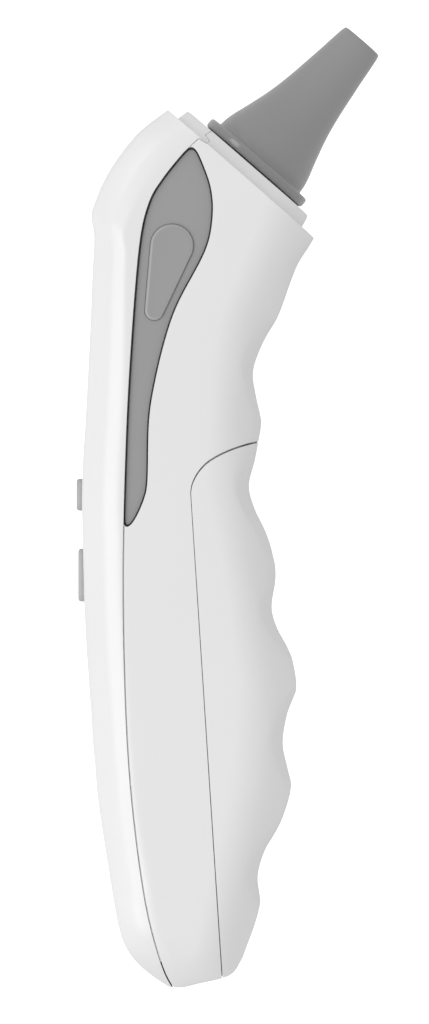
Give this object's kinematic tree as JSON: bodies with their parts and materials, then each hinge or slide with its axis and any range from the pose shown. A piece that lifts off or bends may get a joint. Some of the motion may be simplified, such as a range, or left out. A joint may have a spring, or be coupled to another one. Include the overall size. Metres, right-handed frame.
{
  "type": "infrared ear thermometer",
  "caption": "Handheld infrared ear thermometer with a conical probe, front display and keys, side scan buttons, finger-grooved grip and sliding battery door.",
  "frame": {"origin": "middle of the bounding box, on the surface that the left side rests on", "axes": "+Y towards the head and probe, +X towards the back of the grip, +Z towards the user's right side, which faces up as the thermometer lies on its left side"},
  "size_m": [0.0517, 0.1649, 0.038],
  "materials": {
    "white_casing": "satin white moulded ABS",
    "grey_plastic": "mid-grey fine-textured plastic",
    "key_plastic": "mid-grey satin plastic",
    "probe_plastic": "mid-grey polished plastic",
    "lens": "dark tinted display window",
    "lcd_glass": "liquid crystal display glass",
    "clear_plastic": "frosted light guide",
    "inner_plastic": "natural white moulded plastic",
    "dark_rubber": "black silicone rubber",
    "circuit_board": "green solder mask",
    "dark_plastic": "black moulded plastic",
    "board_parts": "mixed metal and ceramic components",
    "plated_steel": "nickel-plated steel",
    "gold_can": "gold-plated sensor can",
    "sensor_window": "coated silicon window",
    "flex_film": "amber polyimide film",
    "cell_sleeve": "printed cell sleeve"
  },
  "bodies": {
    "casing": {"front_case": "white_casing", "rear_case": "white_casing", "side_panel_right": "grey_plastic", "side_panel_left": "grey_plastic", "display_lens": "lens", "lcd_panel": "lcd_glass", "lcd_frame": "inner_plastic", "backlight_guide": "clear_plastic", "lcd_strips": "dark_rubber", "main_board": "circuit_board", "controller_chip": "dark_plastic", "board_parts": "board_parts", "key_switches": "dark_plastic", "scan_switch_right": "dark_plastic", "scan_switch_left": "dark_plastic", "buzzer": "dark_plastic", "probe_cone": "probe_plastic", "probe_gasket": "dark_rubber", "sensor_barrel": "plated_steel", "thermopile": "gold_can", "sensor_window": "sensor_window", "sensor_flex": "flex_film", "battery_right": "cell_sleeve", "battery_left": "cell_sleeve", "contact_springs": "plated_steel", "contact_plates": "plated_steel", "case_screws": "plated_steel", "board_screws": "plated_steel"},
    "door": {"battery_door": "white_casing"},
    "right_scan_button": {"scan_button_right": "grey_plastic"},
    "left_scan_button": {"scan_button_left": "grey_plastic"},
    "mode_key": {"mode_button": "key_plastic"},
    "memory_key": {"memory_button": "key_plastic"}
  },
  "joints": [
    {"name": "door_slide", "type": "slide", "parent": "casing", "child": "door", "axis": [0.0645, -0.9979, 0], "range_m": [0, 0.096]},
    {"name": "right_scan_press", "type": "slide", "parent": "casing", "child": "right_scan_button", "axis": [0, 0, -1], "range_m": [0, 0.0007], "stiffness_N_per_m": 900},
    {"name": "left_scan_press", "type": "slide", "parent": "casing", "child": "left_scan_button", "axis": [0, 0, 1], "range_m": [0, 0.0007], "stiffness_N_per_m": 900},
    {"name": "mode_press", "type": "slide", "parent": "casing", "child": "mode_key", "axis": [1, 0, 0], "range_m": [0, 0.0006], "stiffness_N_per_m": 900},
    {"name": "memory_press", "type": "slide", "parent": "casing", "child": "memory_key", "axis": [1, 0, 0], "range_m": [0, 0.0006], "stiffness_N_per_m": 900}
  ]
}
